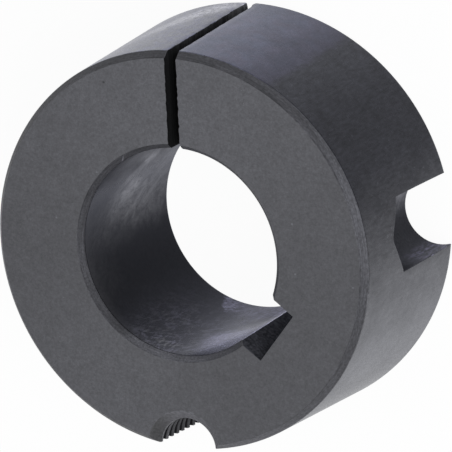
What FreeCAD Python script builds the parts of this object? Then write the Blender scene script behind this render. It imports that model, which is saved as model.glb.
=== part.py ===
import FreeCAD, Part
import math
import os

import Sketcher
from FreeCAD import Placement, Rotation, Vector

# Split taper bushing: one iron ring that grips a shaft when its tapered outside is drawn into a hub.
# The large end stands on z = 0 and the bore's axis is +Z, so the small end faces up.
# The saw slot runs along +Y, and angles are measured from it about +Z, clockwise from above.
# Lengths are in millimetres and angles in degrees.
DIMENSIONS = (
    ("large_end_diameter", 57.15, "across the taper at the large end, before its edge is broken"),
    ("bush_length", 25.0, "from end face to end face"),
    ("taper_angle", 4.0, "slope of the outside, each side"),
    ("bore_diameter", 28.0, "shaft bore"),
    ("rim_chamfer_width", 0.78, "small end, outer edge: how far it runs across the face"),
    ("rim_chamfer_depth", 1.08, "small end, outer edge: how far it runs down the taper"),
    ("mouth_chamfer_width", 0.7, "small end, bore edge: how far it runs across the face"),
    ("mouth_chamfer_depth", 0.92, "small end, bore edge: how far it runs down the bore"),
    ("large_edge_break", 0.3, "large end, outer edge"),
    ("slot_width", 1.6, "saw cut through the wall"),
    ("slot_offset", 0.4, "saw cut's centre line, off the bore's axis towards +X"),
    ("keyway_width", 8.0, "keyway, side to side"),
    ("keyway_depth", 3.3, "keyway's floor, beyond the bore's wall"),
    ("keyway_angle", 127.5, "keyway's middle, from the slot"),
    ("keyway_offset", 0.4, "keyway's middle, off its radius towards the slot"),
    ("screw_circle_diameter", 53.8, "through the centres of the half-holes"),
    ("plain_hole_diameter", 10.0, "half-holes for the clamping screws"),
    ("plain_hole_depth", 14.1, "their full diameter, from the large end"),
    ("plain_hole_angle", 85.8, "their centres, each side of the slot"),
    ("drill_point_angle", 118.0, "cone at their blind ends"),
    ("thread_major_diameter", 9.525, "tapped half-hole for the removal screw, at the thread's root"),
    ("thread_minor_diameter", 7.94, "the same, at the thread's crest"),
    ("thread_pitch", 1.5875, "one turn of the thread"),
    ("thread_root_flat", 0.2, "flat at the thread's root"),
    ("thread_flank_angle", 30.0, "each flank, from square to the thread's axis"),
    ("tapped_hole_offset", 0.25, "tapped half-hole's centre, off the bore's axis towards -X"),
    ("countersink_diameter", 10.6, "mouth of the tapped half-hole at the small end"),
    ("countersink_angle", 90.0, "its cone, side to side"),
)
CLEAR = 2.0  # how far a cutting profile runs on into the open, so that no cut ends on a face
THREAD_LEAD = 0.3  # how far the thread's profile reaches into the open hole
SIZE = {name: value for name, value, note in DIMENSIONS}

doc = FreeCAD.newDocument("taper_bushing")


def make_sheet():
    """Write the driving dimensions into a spreadsheet, one alias a row."""
    sheet = doc.addObject("Spreadsheet::Sheet", "Sizes")
    for row, (name, value, note) in enumerate(DIMENSIONS, start=1):
        sheet.set(f"A{row}", name)
        sheet.set(f"B{row}", str(value))
        sheet.set(f"C{row}", note)
        sheet.setAlias(f"B{row}", name)
    doc.recompute()
    return sheet


def origin_plane(body, role):
    """The body's own origin plane with that role."""
    return next(plane for plane in body.Origin.OriginFeatures if plane.Role == role)


def new_sketch(body, name, role):
    sketch = body.newObject("Sketcher::SketchObject", name)
    sketch.AttachmentSupport = [(origin_plane(body, role), "")]
    sketch.MapMode = "FlatFace"
    return sketch


def add_polygon(sketch, corners):
    """Closed outline of straight lines through the corners, joined end to end."""
    points = [Vector(x, y, 0) for x, y in corners]
    count = len(points)
    for i in range(count):
        sketch.addGeometry(Part.LineSegment(points[i], points[(i + 1) % count]), False)
    for i in range(count):
        sketch.addConstraint(Sketcher.Constraint("Coincident", i, 2, (i + 1) % count, 1))


def set_size(sketch, kind, where, value, formula):
    """Add a dimension at its starting value and bind it to the sheet."""
    index = sketch.addConstraint(Sketcher.Constraint(kind, *where, value))
    sketch.setExpression(f"Constraints[{index}]", formula)


def set_corner(sketch, line, x, x_formula, y, y_formula):
    """Give the start point of a line its distances from the sketch's axes."""
    for kind, value, formula in (("DistanceX", x, x_formula), ("DistanceY", y, y_formula)):
        if value == 0:
            axis = -2 if kind == "DistanceX" else -1
            sketch.addConstraint(Sketcher.Constraint("PointOnObject", line, 1, axis))
        elif value > 0:
            set_size(sketch, kind, (-1, 1, line, 1), value, formula)
        else:
            set_size(sketch, kind, (line, 1, -1, 1), -value, formula)


def turn_blank(body):
    """The turned ring: taper outside, bore inside, and the chamfers of both ends."""
    large, bore = SIZE["large_end_diameter"] / 2, SIZE["bore_diameter"] / 2
    length, slope = SIZE["bush_length"], math.tan(math.radians(SIZE["taper_angle"]))
    edge, width, depth = SIZE["large_edge_break"], SIZE["rim_chamfer_width"], SIZE["rim_chamfer_depth"]
    mouth_width, mouth_depth = SIZE["mouth_chamfer_width"], SIZE["mouth_chamfer_depth"]
    small = large - slope * length
    corners = (
        (bore, 0),
        (large - edge, 0),
        (large - slope * edge, edge),
        (large - slope * (length - depth), length - depth),
        (small - width, length),
        (bore + mouth_width, length),
        (bore, length - mouth_depth),
    )
    sketch = new_sketch(body, "blank_section", "XZ_Plane")
    add_polygon(sketch, corners)
    taper = "tan(Sizes.taper_angle * 1 deg)"
    large_formula = "Sizes.large_end_diameter / 2"
    bore_formula = "Sizes.bore_diameter / 2"
    length_formula = "Sizes.bush_length"
    formulas = (
        (bore_formula, "0"),
        (f"{large_formula} - Sizes.large_edge_break", "0"),
        (f"{large_formula} - {taper} * Sizes.large_edge_break", "Sizes.large_edge_break"),
        (
            f"{large_formula} - {taper} * (Sizes.bush_length - Sizes.rim_chamfer_depth)",
            f"{length_formula} - Sizes.rim_chamfer_depth",
        ),
        (f"{large_formula} - {taper} * Sizes.bush_length - Sizes.rim_chamfer_width", length_formula),
        (f"{bore_formula} + Sizes.mouth_chamfer_width", length_formula),
        (bore_formula, f"{length_formula} - Sizes.mouth_chamfer_depth"),
    )
    for line, ((x, y), (x_formula, y_formula)) in enumerate(zip(corners, formulas)):
        set_corner(sketch, line, x, x_formula, y, y_formula)
    blank = body.newObject("PartDesign::Revolution", "blank")
    blank.Profile = sketch
    blank.ReferenceAxis = (sketch, ["V_Axis"])
    blank.Angle = 360
    return blank


def cut_through(body, sketch, name):
    """Pocket that runs up through the whole length from the large end."""
    pocket = body.newObject("PartDesign::Pocket", name)
    pocket.Profile = sketch
    pocket.Type = "ThroughAll"
    pocket.Reversed = True
    return pocket


def saw_slot(body):
    """Saw cut from the bore out through the taper, parallel to the axis."""
    half, offset = SIZE["slot_width"] / 2, SIZE["slot_offset"]
    inner, outer = SIZE["bore_diameter"] / 4, SIZE["large_end_diameter"] / 2 + CLEAR
    sketch = new_sketch(body, "slot_section", "XY_Plane")
    add_polygon(sketch, ((offset + half, inner), (offset + half, outer), (offset - half, outer),
                         (offset - half, inner)))
    for line, kind in enumerate(("Vertical", "Horizontal", "Vertical", "Horizontal")):
        sketch.addConstraint(Sketcher.Constraint(kind, line))
    set_size(sketch, "DistanceX", (-1, 1, 0, 1), offset + half, "Sizes.slot_offset + Sizes.slot_width / 2")
    set_size(sketch, "DistanceX", (3, 1, 0, 1), 2 * half, "Sizes.slot_width")
    set_size(sketch, "DistanceY", (-1, 1, 0, 1), inner, "Sizes.bore_diameter / 4")
    set_size(sketch, "DistanceY", (-1, 1, 1, 1), outer, f"Sizes.large_end_diameter / 2 + {CLEAR}")
    return cut_through(body, sketch, "slot")


def keyway(body):
    """Square-cornered keyway, broached through the bore's wall from end to end."""
    turn = math.radians(90 - SIZE["keyway_angle"])
    along, across = Vector(math.cos(turn), math.sin(turn), 0), Vector(-math.sin(turn), math.cos(turn), 0)
    floor, root = SIZE["bore_diameter"] / 2 + SIZE["keyway_depth"], SIZE["bore_diameter"] / 4
    near, far = SIZE["keyway_offset"] + SIZE["keyway_width"] / 2, SIZE["keyway_width"] / 2 - SIZE["keyway_offset"]
    corners = [along * root - across * far, along * floor - across * far,
               along * floor + across * near, along * root + across * near]
    sketch = new_sketch(body, "keyway_section", "XY_Plane")
    add_polygon(sketch, [(corner.x, corner.y) for corner in corners])
    middle = sketch.addGeometry(Part.LineSegment(Vector(0, 0, 0), along * floor), True)
    sketch.addConstraint(Sketcher.Constraint("Coincident", middle, 1, -1, 1))
    sketch.addConstraint(Sketcher.Constraint("PointOnObject", middle, 2, 1))
    for line, kind in enumerate(("Parallel", "Perpendicular", "Parallel", "Perpendicular")):
        sketch.addConstraint(Sketcher.Constraint(kind, line, middle))
    set_size(sketch, "Angle", (middle,), turn, "(90 - Sizes.keyway_angle) * 1 deg")
    set_size(sketch, "Distance", (middle,), floor, "Sizes.bore_diameter / 2 + Sizes.keyway_depth")
    set_size(sketch, "Distance", (1,), near + far, "Sizes.keyway_width")
    set_size(sketch, "Distance", (2, 1, middle), near, "Sizes.keyway_width / 2 + Sizes.keyway_offset")
    set_size(sketch, "Distance", (0,), floor - root, "Sizes.bore_diameter / 4 + Sizes.keyway_depth")
    return cut_through(body, sketch, "keyway")


def plain_half_holes(body):
    """Two blind drillings that straddle the taper, open at the large end, one each side of the slot."""
    turn = math.radians(90 - SIZE["plain_hole_angle"])
    reach, radius = SIZE["screw_circle_diameter"] / 2, SIZE["plain_hole_diameter"] / 2
    centre = Vector(reach * math.cos(turn), reach * math.sin(turn), 0)
    mirrored = Vector(-centre.x, centre.y, 0)
    sketch = new_sketch(body, "plain_hole_centres", "XY_Plane")
    for point in (centre, mirrored):
        sketch.addGeometry(Part.Circle(point, Vector(0, 0, 1), radius), False)
    spoke = sketch.addGeometry(Part.LineSegment(Vector(0, 0, 0), centre), True)
    sketch.addConstraint(Sketcher.Constraint("Coincident", spoke, 1, -1, 1))
    sketch.addConstraint(Sketcher.Constraint("Coincident", spoke, 2, 0, 3))
    sketch.addConstraint(Sketcher.Constraint("Symmetric", 0, 3, 1, 3, -2))
    sketch.addConstraint(Sketcher.Constraint("Equal", 0, 1))
    set_size(sketch, "Angle", (spoke,), turn, "(90 - Sizes.plain_hole_angle) * 1 deg")
    set_size(sketch, "Distance", (spoke,), reach, "Sizes.screw_circle_diameter / 2")
    set_size(sketch, "Diameter", (0,), 2 * radius, "Sizes.plain_hole_diameter")
    doc.recompute()
    holes = body.newObject("PartDesign::Hole", "plain_half_holes")
    holes.Profile = sketch
    holes.Reversed = True
    holes.DepthType = "Dimension"
    holes.DrillPoint = "Angled"
    holes.setExpression("Diameter", "Sizes.plain_hole_diameter")
    holes.setExpression("Depth", "Sizes.plain_hole_depth")
    holes.setExpression("DrillPointAngle", "Sizes.drill_point_angle")
    return holes


def tapped_half_hole(body):
    """Drilling that straddles the taper opposite the slot, right through, countersunk at the small end."""
    reach, radius = SIZE["screw_circle_diameter"] / 2, SIZE["thread_minor_diameter"] / 2
    offset = SIZE["tapped_hole_offset"]
    sketch = new_sketch(body, "tapped_hole_centre", "XY_Plane")
    sketch.AttachmentOffset = Placement(Vector(0, 0, SIZE["bush_length"]), Rotation())
    sketch.setExpression(".AttachmentOffset.Base.z", "Sizes.bush_length")
    sketch.addGeometry(Part.Circle(Vector(-offset, -reach, 0), Vector(0, 0, 1), radius), False)
    set_size(sketch, "DistanceX", (0, 3, -1, 1), offset, "Sizes.tapped_hole_offset")
    set_size(sketch, "DistanceY", (0, 3, -1, 1), reach, "Sizes.screw_circle_diameter / 2")
    set_size(sketch, "Diameter", (0,), 2 * radius, "Sizes.thread_minor_diameter")
    doc.recompute()
    hole = body.newObject("PartDesign::Hole", "tapped_half_hole")
    hole.Profile = sketch
    hole.DepthType = "ThroughAll"
    hole.HoleCutType = "Countersink"
    hole.HoleCutCustomValues = True
    hole.setExpression("Diameter", "Sizes.thread_minor_diameter")
    hole.setExpression("HoleCutDiameter", "Sizes.countersink_diameter")
    hole.setExpression("HoleCutCountersinkAngle", "Sizes.countersink_angle")
    return hole


def removal_thread(body):
    """Right-hand thread cut into the tapped half-hole along its whole length."""
    reach = SIZE["screw_circle_diameter"] / 2
    minor, major = SIZE["thread_minor_diameter"] / 2, SIZE["thread_major_diameter"] / 2
    lean = math.tan(math.radians(SIZE["thread_flank_angle"]))
    flat, inner = SIZE["thread_root_flat"] / 2, minor - THREAD_LEAD
    mouth = flat + (major - inner) * lean
    sketch = new_sketch(body, "thread_section", "YZ_Plane")
    start = Vector(-reach, -2 * SIZE["thread_pitch"], -SIZE["tapped_hole_offset"])
    sketch.AttachmentOffset = Placement(start, Rotation())
    sketch.setExpression(".AttachmentOffset.Base.x", "-Sizes.screw_circle_diameter / 2")
    sketch.setExpression(".AttachmentOffset.Base.y", "-2 * Sizes.thread_pitch")
    sketch.setExpression(".AttachmentOffset.Base.z", "-Sizes.tapped_hole_offset")
    add_polygon(sketch, ((inner, mouth), (inner, -mouth), (major, -flat), (major, flat)))
    sketch.addConstraint(Sketcher.Constraint("Symmetric", 0, 1, 1, 1, -1))
    sketch.addConstraint(Sketcher.Constraint("Symmetric", 2, 1, 3, 1, -1))
    mouth_formula = (
        "Sizes.thread_root_flat + 2 * tan(Sizes.thread_flank_angle * 1 deg)"
        f" * ((Sizes.thread_major_diameter - Sizes.thread_minor_diameter) / 2 + {THREAD_LEAD})"
    )
    set_size(sketch, "DistanceX", (-1, 1, 0, 1), inner, f"Sizes.thread_minor_diameter / 2 - {THREAD_LEAD}")
    set_size(sketch, "DistanceX", (-1, 1, 2, 1), major, "Sizes.thread_major_diameter / 2")
    set_size(sketch, "DistanceY", (1, 1, 0, 1), 2 * mouth, mouth_formula)
    set_size(sketch, "DistanceY", (2, 1, 3, 1), 2 * flat, "Sizes.thread_root_flat")
    doc.recompute()
    thread = body.newObject("PartDesign::SubtractiveHelix", "removal_thread")
    thread.Profile = sketch
    thread.ReferenceAxis = (sketch, ["V_Axis"])
    thread.Mode = "pitch-height-angle"
    thread.setExpression("Pitch", "Sizes.thread_pitch")
    thread.setExpression("Height", "Sizes.bush_length + 4 * Sizes.thread_pitch")
    return thread


def build_bushing():
    """Turn the blank, then make each cut and see that it took metal away."""
    body = doc.addObject("PartDesign::Body", "bushing")
    body.Label = "bushing"
    turn_blank(body)
    doc.recompute()
    for cut in (saw_slot, keyway, plain_half_holes, tapped_half_hole, removal_thread):
        before = body.Shape.Volume
        cut(body)
        doc.recompute()
        removed = before - body.Shape.Volume
        print(f"{cut.__name__}: {removed:.2f} mm3 removed")
        if removed <= 0:
            raise RuntimeError(f"{cut.__name__} cut nothing")
    return body


def check_document():
    """Stop if any object of the document failed."""
    for item in doc.Objects:
        if "Invalid" in item.State or "Error" in item.State:
            raise RuntimeError(f"{item.Label} failed: {item.State}")


def write_parts(bodies):
    os.makedirs("parts", exist_ok=True)
    for body in bodies:
        shape = body.Shape
        if shape.isNull() or not shape.isValid() or len(shape.Solids) != 1:
            raise RuntimeError(f"{body.Label} is not one valid solid")
        shape.exportStep(f"parts/{body.Label}.step")
        print(f"{body.Label}: {shape.Volume:.1f} mm3")


make_sheet()
bushing = build_bushing()
check_document()
write_parts([bushing])
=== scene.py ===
import math

import bmesh
import bpy
import numpy as np
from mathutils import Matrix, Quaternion, Vector


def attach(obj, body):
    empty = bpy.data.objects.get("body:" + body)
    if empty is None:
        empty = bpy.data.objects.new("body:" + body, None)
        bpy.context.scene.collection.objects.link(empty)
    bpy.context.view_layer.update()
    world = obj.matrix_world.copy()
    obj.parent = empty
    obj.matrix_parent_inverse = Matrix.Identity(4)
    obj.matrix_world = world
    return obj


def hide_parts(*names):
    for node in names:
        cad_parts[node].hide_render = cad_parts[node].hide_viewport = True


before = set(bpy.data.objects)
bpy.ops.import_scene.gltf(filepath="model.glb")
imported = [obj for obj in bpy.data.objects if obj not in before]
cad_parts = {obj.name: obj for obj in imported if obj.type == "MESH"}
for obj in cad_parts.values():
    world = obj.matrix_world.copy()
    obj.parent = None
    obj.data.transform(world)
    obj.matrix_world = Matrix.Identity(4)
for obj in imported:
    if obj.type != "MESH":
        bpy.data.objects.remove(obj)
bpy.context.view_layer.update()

MM = 0.001
FULL_TURN = 2 * math.pi

# Camera: it looks down on the small end, and is rolled so that the saw slot points up the picture.
CAMERA_AIM = Vector((1.17, 0.705, 12.5)) * MM
CAMERA_DISTANCE = 457.3 * MM
CAMERA_AZIMUTH = math.radians(120.45)
CAMERA_ELEVATION = math.radians(59.93)
CAMERA_ROLL = math.radians(119.51)
CAMERA_LENS = 273.6
CAMERA_CLIP = (0.01, 10.0)

# Studio: a white surround, an even light all round, a lamp and a pale floor. Places are in metres.
WHITE = (1.0, 1.0, 1.0, 1.0)
SKY_COLOUR, SKY_STRENGTH = (0.95, 0.97, 1.0, 1.0), 0.55
LAMP_PLACE, LAMP_SIZE, LAMP_POWER = (0.2, -0.04, 0.35), 0.3, 0.9
FLOOR_REACH, FLOOR_COLOUR, FLOOR_GLOW_SHARE = 2.0, (0.9, 0.9, 0.9, 1.0), 0.95

# The bushing's sizes, as the CAD node has them, in millimetres.
LENGTH = 25.0
LARGE_RADIUS = 57.15 / 2
TAPER_SLOPE = math.tan(math.radians(4.0))
EDGE_BREAK = 0.3
RIM_CHAMFER_WIDTH, RIM_CHAMFER_DEPTH = 0.78, 1.08
MOUTH_CHAMFER_WIDTH, MOUTH_CHAMFER_DEPTH = 0.7, 0.92
RIM_FOOT, MOUTH_FOOT = LENGTH - RIM_CHAMFER_DEPTH, LENGTH - MOUTH_CHAMFER_DEPTH
BORE_RADIUS = 14.0
SLOT_SIDES = {"left": -0.4, "right": 1.2}
KEYWAY_TURN = math.radians(-37.5)
KEYWAY_FLOOR = 17.3
KEYWAY_SIDES = (-3.6, 4.4)
HOLE_CIRCLE = 26.9
PLAIN_HOLE_RADIUS = 5.0
PLAIN_HOLE_DEPTH = 14.1
PLAIN_HOLE_TURNS = {"plain_hole_right": math.radians(4.2), "plain_hole_left": math.radians(-184.2)}
DRILL_POINT_SLOPE = math.tan(math.radians(59.0))
THREAD_MAJOR, THREAD_MINOR = 9.525 / 2, 7.94 / 2
THREAD_DEPTH = THREAD_MAJOR - THREAD_MINOR
THREAD_PITCH = 1.5875
THREAD_ROOT = 0.1
THREAD_FLANK = math.tan(math.radians(30.0))
COUNTERSINK_RADIUS = 5.3
COUNTERSINK_FOOT = LENGTH - COUNTERSINK_RADIUS + THREAD_MINOR
THREAD_TOP = COUNTERSINK_FOOT + 0.1
THREAD_RUN_OUT = 0.35
TAPPED_HOLE_OFFSET = 0.25
TAPPED_HOLE_REACH = math.hypot(HOLE_CIRCLE, TAPPED_HOLE_OFFSET)
TAPPED_HOLE_LEAN = math.atan2(TAPPED_HOLE_OFFSET, HOLE_CIRCLE)

# How far the mesh's edges are eased, and how it is divided, in millimetres.
EDGE_EASE = 0.07
END_INSET = 0.035
CORNER_PULL = 0.55
END_ROW = 0.3 * EDGE_EASE
ROW_GAP = 0.6 * EDGE_EASE
BRIDGE_TOP = 20.0
CONE_ROWS = 9
CONE_EASE_RATE = 5
THREAD_SPAN = math.radians(210.0)
SHIFT_FADE_HEIGHTS = (1.4, 3.0)
SHIFT_FADE_COLUMNS = 12
THREAD_EDGE_STEPS, ARCH_STEPS = 6, 8
WELD_GAP, SHORTEST_EDGE = 0.001, 0.0001
SHARP_ANGLE = math.radians(50)

# Finishes of the mesh's walls, in the order of its materials.
FINISHES = ("end_face", "chamfer", "taper", "bore", "saw", "thread", "keyway", "cut")

# Waves of the sawn walls: their height, how fast they run along y and z, and how often they take the phase.
SAW_WAVES = ((0.020, 2.9, 0.5, 1), (0.016, 7.7, -1.3, 2), (0.012, 15.1, 4.1, 3))
SAW_PHASES = {"left": 4.0, "right": 1.0}

# Nicks along the saw slot's edges on the small end: where along y they lie and how deep they are.
SAW_NICKS = {
    "left": ((15.6, 0.05), (17.9, 0.04), (20.2, 0.05), (22.6, 0.04), (24.7, 0.05)),
    "right": ((14.6, 0.08), (15.9, 0.05), (17.2, 0.10), (18.3, 0.05), (19.4, 0.10), (20.4, 0.05),
              (21.3, 0.09), (22.1, 0.06), (23.1, 0.04), (23.9, 0.09), (25.0, 0.05)),
}
NICK_WIDTH, NICK_HEIGHT = 0.24, 0.9

# Burrs that stand into the slot at the large end: how far, and where along y each starts, is full and ends.
SAW_BURRS = {"left": (0.28, (25.5, 27.0, 28.0, 28.6)), "right": (0.32, (26.6, 28.2, 30.0, 31.0))}
BURR_MIDDLE, BURR_HEIGHT = 0.9, 0.75

# Small marks that show in the photograph: dents, a pit and rubs on the small end, nicks on its chamfers.
FACE_DENTS = ((-11.16, 10.24), (16.98, -1.3), (25.04, -2.43), (16.8, 5.31), (-17.57, 3.64))
FACE_PITS = ((-9.43, 22.39),)
DENT_SIZE, PIT_SIZE, RUB_WIDTH, CHAMFER_NICK_WIDTH = 0.17, 0.20, 0.22, 0.10
COUNTERSINK_RUBS = (
    ((-4.15, -23.55), (-4.1, -23.2)),
    ((-2.75, -22.2), (-2.3, -22.0)),
    ((-1.75, -21.8), (-0.9, -21.6)),
    ((-0.5, -21.5), (0.1, -21.5)),
    ((0.8, -21.55), (1.3, -21.68)),
    ((2.5, -22.25), (2.95, -22.65)),
)
CHAMFER_NICKS = (
    ((-7.0, 13.09, 25.0), (-7.67, 11.77, 24.15)),
    ((12.6, -23.5, 24.9), (12.75, -23.4, 24.9)),
)
RING_RADIUS = 22.0

# Soft patches of the finishes, painted sheen and highlights among them: middle and spread, in degrees of turn
# and millimetres of height, and strength.
# Painted sheen of the small end's turned face.
END_FACE_PAINTED_SHEEN = (
    ((182, 25), (105, 60), 0.34),
    ((-178, 25), (105, 60), 0.34),
    ((-30, 25), (58, 60), 0.22),
)
RIM_WEAR = (
    ((104, 24.3), (36, 3), 0.75),
    ((22, 25), (40, 40), 0.55),
    ((152, 25), (40, 40), 0.12),
    ((-82, 25), (40, 40), 1.15),
)
# Painted highlights of the bore, left of the slot.
BORE_PAINTED_HIGHLIGHTS = (
    ((-108, 4), (32, 15), 0.06),
    ((-96, 14), (22, 16), 0.022),
    ((-138, 18.5), (20, 8), 0.045),
    ((-104, 12), (15, 9), 0.04),
    ((-72, 23), (26, 8), 0.009),
)
# Lilac film of the bore beside the keyway, brightened by painted highlight.
BORE_FILM_AND_HIGHLIGHT = (
    ((36, 19), (24, 11), 0.17),
    ((36, 4), (22, 14), 0.24),
    ((17, 2), (26, 9), 0.11),
    ((20, 19.5), (20, 8), 0.085),
    ((-30, 14), (30, 22), 0.005),
    ((6, 12), (26, 13), 0.02),
)

# Base colours of the finishes. The taper's low grey, left greys and whitish grey paint in reflection and
# highlight; the thread's paint in shade and highlight.
END_FACE_GREY = (0.0585, 0.0588, 0.0655)
CHAMFER_GREY = (0.0488, 0.0489, 0.0552)
TAPER_BLACK, TAPER_SHADED = (0.0185, 0.019, 0.024), (0.028, 0.029, 0.036)
TAPER_LILACS = ((0.034, 0.0325, 0.05), (0.079, 0.088, 0.134), (0.088, 0.087, 0.13))
TAPER_LOW_PAINTED_REFLECTION = (0.109, 0.11, 0.118)
TAPER_LEFT_STAIN_AND_HIGHLIGHT = ((0.112, 0.116, 0.172), (0.132, 0.135, 0.158))
TAPER_PAINTED_HIGHLIGHT = (0.46, 0.46, 0.5)
BORE_TINT, COOL_GREY, LILAC = (0.8, 0.81, 0.875), (1.0, 1.0, 1.06), (0.95, 0.93, 1.35)
SAW_BLACK = (0.0133, 0.0134, 0.0142)
# Thread colours: dark flanks and roots with painted shade, crests with painted highlight, brightest on the
# first crest.
THREAD_BLACK, THREAD_CREST, FIRST_CREST = (0.012, 0.012, 0.013), (0.08, 0.08, 0.085), (0.17, 0.169, 0.18)
COUNTERSINK_GREYS = ((0.064, 0.064, 0.066), (0.13, 0.129, 0.14))
KEYWAY_GREY = (0.062, 0.063, 0.074)
DRILLED_TINT, DRILLED_LILAC = (0.72, 0.73, 0.79), (0.056, 0.052, 0.08)


def add_camera():
    """Camera of the photograph's view."""
    flat = math.cos(CAMERA_ELEVATION)
    across = (math.sin(CAMERA_AZIMUTH) * flat, -math.cos(CAMERA_AZIMUTH) * flat)
    back = Vector((*across, math.sin(CAMERA_ELEVATION)))
    data = bpy.data.cameras.new("camera")
    data.lens = CAMERA_LENS
    data.clip_start, data.clip_end = CAMERA_CLIP
    camera = bpy.data.objects.new("camera", data)
    camera.location = CAMERA_AIM + back * CAMERA_DISTANCE
    camera.rotation_mode = "QUATERNION"
    camera.rotation_quaternion = (-back).to_track_quat("-Z", "Y") @ Quaternion((0, 0, 1), -CAMERA_ROLL)
    bpy.context.scene.collection.objects.link(camera)
    bpy.context.scene.camera = camera


def shows_background(tree):
    """1 for camera, glossy and transmission rays, 0 for the rest."""
    path = node(tree, "LightPath").outputs
    rays = ("Is Camera Ray", "Is Glossy Ray", "Is Transmission Ray")
    return chained(tree, "MAXIMUM", *(path[ray] for ray in rays))


def add_world():
    """White surround to look at, and an even light that lights the bushing."""
    world = bpy.data.worlds.new("studio")
    bpy.context.scene.world = world
    world.use_nodes = True
    tree = world.node_tree
    tree.nodes.clear()
    seen = node(tree, "Background", {"Color": WHITE, "Strength": 1.0})
    light = node(tree, "Background", {"Color": SKY_COLOUR, "Strength": SKY_STRENGTH})
    mix = node(tree, "MixShader", {0: shows_background(tree), 1: light.outputs[0], 2: seen.outputs[0]})
    node(tree, "OutputWorld", {"Surface": mix.outputs[0]})


def add_lamp():
    """Round lamp that points at the bushing's foot."""
    data = bpy.data.lights.new("key", "AREA")
    data.shape = "DISK"
    data.size = LAMP_SIZE
    data.energy = LAMP_POWER
    lamp = bpy.data.objects.new("key", data)
    lamp.location = LAMP_PLACE
    lamp.rotation_mode = "QUATERNION"
    lamp.rotation_quaternion = (-Vector(LAMP_PLACE)).to_track_quat("-Z", "Y")
    bpy.context.scene.collection.objects.link(lamp)


def add_floor():
    """Pale floor, nearly as white as the surround, which keeps the bushing's shadow."""
    data = bpy.data.meshes.new("floor")
    corners = [(x * FLOOR_REACH, y * FLOOR_REACH, 0) for x, y in ((-1, -1), (1, -1), (1, 1), (-1, 1))]
    data.from_pydata(corners, [], [(0, 1, 2, 3)])
    floor = bpy.data.objects.new("floor", data)
    bpy.context.scene.collection.objects.link(floor)
    material = bpy.data.materials.new("pale_floor")
    material.use_nodes = True
    tree = material.node_tree
    tree.nodes.clear()
    cloth = node(tree, "BsdfDiffuse", {"Color": FLOOR_COLOUR})
    glow = node(tree, "Emission", {"Strength": 1.0})
    share = number(tree, "MULTIPLY", shows_background(tree), FLOOR_GLOW_SHARE)
    mix = node(tree, "MixShader", {0: share, 1: cloth.outputs[0], 2: glow.outputs[0]})
    node(tree, "OutputMaterial", {"Surface": mix.outputs[0]})
    data.materials.append(material)


def eased(z, heights, values):
    """Straight runs between the given points, with their corners eased."""
    return (np.interp(z - EDGE_EASE, heights, values) + np.interp(z + EDGE_EASE, heights, values)) / 2


def outer_radius(z):
    """The turned outside: broken edge, taper and rim chamfer."""
    radii = (
        LARGE_RADIUS - EDGE_BREAK,
        LARGE_RADIUS - TAPER_SLOPE * EDGE_BREAK,
        LARGE_RADIUS - TAPER_SLOPE * RIM_FOOT,
        LARGE_RADIUS - TAPER_SLOPE * LENGTH - RIM_CHAMFER_WIDTH,
    )
    return eased(z, (0, EDGE_BREAK, RIM_FOOT, LENGTH), radii)


def inner_radius(z):
    """The bore and its mouth's chamfer."""
    radii = (BORE_RADIUS, BORE_RADIUS, BORE_RADIUS + MOUTH_CHAMFER_WIDTH)
    return eased(z, (0, MOUTH_FOOT, LENGTH), radii)


def saw_wall(side, y, z):
    """x of one wall of the saw slot: slightly wavy, nicked at the small end, with a burr at the large end."""
    phase = SAW_PHASES[side]
    wave = sum(height * np.sin(along * y + up * z + share * phase) for height, along, up, share in SAW_WAVES)
    nicks = sum(depth * np.exp(-((y - place) / NICK_WIDTH) ** 2) for place, depth in SAW_NICKS[side])
    nicks = nicks * np.clip(1 - (LENGTH - z) / NICK_HEIGHT, 0, 1)
    height, places = SAW_BURRS[side]
    burr = height * np.exp(-((z - BURR_MIDDLE) / BURR_HEIGHT) ** 2) * np.interp(y, places, (0, 1, 1, 0))
    outward = 1 if side == "right" else -1
    return SLOT_SIDES[side] + wave + outward * (nicks - burr)


def slot_angle(side, radius, z):
    """Where a wall of the slot meets the circle of that radius."""
    x = saw_wall(side, radius, z)
    return np.arctan2(np.sqrt(radius ** 2 - x ** 2), x)


def hole_half_angle(z):
    """Half of the angle that a plain half-hole takes out of the taper, seen from the bore's axis."""
    radius = outer_radius(np.minimum(z, PLAIN_HOLE_DEPTH))
    cosine = (radius ** 2 + HOLE_CIRCLE ** 2 - PLAIN_HOLE_RADIUS ** 2) / (2 * radius * HOLE_CIRCLE)
    return np.arccos(cosine)


def thread_radius(turn, z):
    """The tapped half-hole's wall, at an angle about the hole's own axis: thread and countersink."""
    height = z - THREAD_PITCH * (turn - math.pi / 2) / FULL_TURN
    from_root = np.abs((height + THREAD_PITCH / 2) % THREAD_PITCH - THREAD_PITCH / 2)
    depth = np.clip(THREAD_DEPTH - (from_root - THREAD_ROOT) / THREAD_FLANK, 0, THREAD_DEPTH)
    run_out = np.clip((THREAD_TOP - z) / THREAD_RUN_OUT, 0, 1)
    return np.maximum(THREAD_MINOR + depth * run_out, COUNTERSINK_RADIUS - (LENGTH - z))


def thread_edge(side, z):
    """Angle about the tapped hole's own axis at which its wall meets the taper, on the +X or -X side."""
    outside = outer_radius(z)
    turn = np.full_like(z, 0.0 if side > 0 else math.pi)
    for step in range(THREAD_EDGE_STEPS):
        wall = thread_radius(turn, z)
        lift = np.arcsin((wall ** 2 + TAPPED_HOLE_REACH ** 2 - outside ** 2) / (2 * TAPPED_HOLE_REACH * wall))
        turn = (lift if side > 0 else math.pi - lift) - TAPPED_HOLE_LEAN
    return turn


def thread_point(turn, z):
    """Point of the tapped half-hole's wall, at an angle about the hole's own axis."""
    wall = thread_radius(turn, z)
    return wall * np.cos(turn) - TAPPED_HOLE_OFFSET, wall * np.sin(turn) - HOLE_CIRCLE


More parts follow.
